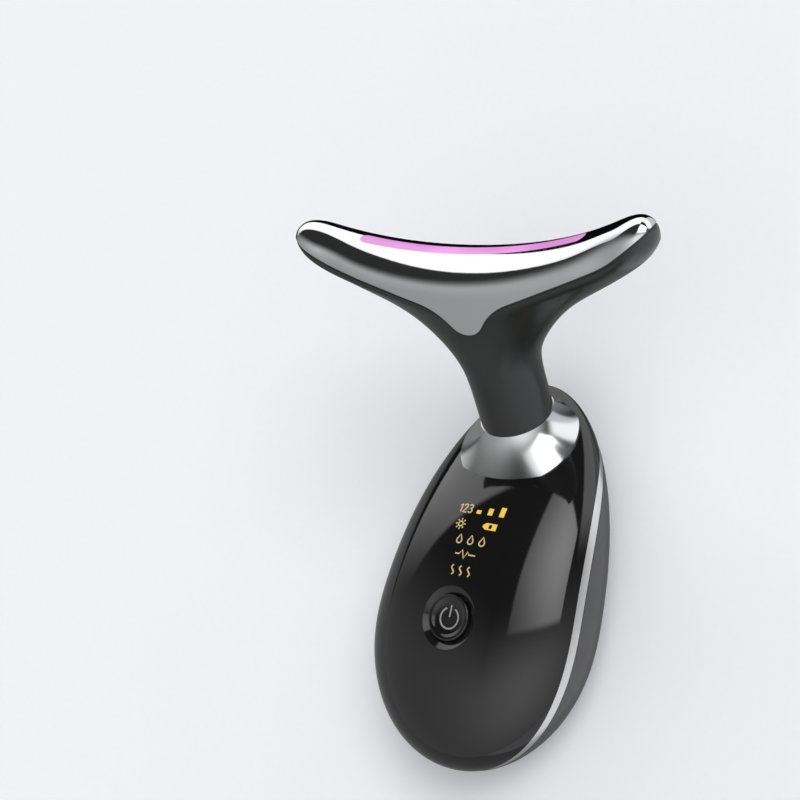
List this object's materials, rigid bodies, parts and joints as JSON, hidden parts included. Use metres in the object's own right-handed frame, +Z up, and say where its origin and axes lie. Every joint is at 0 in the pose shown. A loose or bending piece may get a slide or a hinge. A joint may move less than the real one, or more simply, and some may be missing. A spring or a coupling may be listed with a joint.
{
  "type": "face massager",
  "caption": "Handheld face massager with an egg-shaped gloss handle, a leaning neck and a curved plated massage head with a lit strip; power button, display and charging socket",
  "frame": {"origin": "centre of the flat rest face under the rear shell, where the massager lies on a table", "axes": "X to the right along the massage head, Y from the tail of the handle towards the head, Z up, out of the display side"},
  "size_m": [0.0828, 0.1016, 0.056],
  "materials": {
    "piano_black": "gloss",
    "graphite_plastic": "satin",
    "carrier_plastic": "satin",
    "satin_trim": "satin",
    "chrome_plate": "polished",
    "plated_collar": "polished",
    "black_rubber": "matte",
    "lit_window": "satin",
    "board_green": "satin",
    "chip_white": "satin",
    "chip_black": "satin",
    "film_amber": "satin",
    "steel": "satin",
    "tungsten": "satin",
    "brass_pin": "polished",
    "cell_foil": "satin",
    "white_plastic": "satin",
    "foam_grey": "matte",
    "wire_red": "satin"
  },
  "bodies": {
    "body": {"front_shell": "piano_black", "rear_shell": "graphite_plastic", "trim_ring": "satin_trim", "neck_collar": "plated_collar", "neck_carrier": "carrier_plastic", "neck_nut": "steel", "massage_plate": "chrome_plate", "plate_gasket": "black_rubber", "light_window": "lit_window", "head_board": "board_green", "head_light_chips": "chip_white", "heater_film": "film_amber", "heat_sensor": "chip_black", "contact_pins": "brass_pin", "vibration_motor": "steel", "motor_boot": "black_rubber", "press_switch": "white_plastic", "display_board": "board_green", "display_light_chips": "chip_white", "light_block": "white_plastic", "display_screws": "steel", "main_board": "board_green", "board_chips": "chip_black", "board_header": "chip_black", "main_screws": "steel", "charge_socket": "steel", "socket_tongue": "chip_black", "battery_cell": "cell_foil", "battery_pad": "foam_grey", "battery_plug": "white_plastic", "battery_leads": "wire_red", "wire_plug": "white_plastic", "head_wires": "wire_red"},
    "button": {"power_button": "piano_black", "switch_plunger": "chip_black"},
    "rotor": {"motor_shaft": "steel", "eccentric_weight": "tungsten"}
  },
  "joints": [
    {"name": "button_press", "type": "slide", "parent": "body", "child": "button", "axis": [0, 0, -1], "range_m": [0, 0.0004], "stiffness_N_per_m": 2500},
    {"name": "motor_spin", "type": "hinge", "parent": "body", "child": "rotor", "pos_m": [0, 0.04676, 0.03098], "axis": [0, 0.6018, 0.7986], "continuous": true}
  ]
}
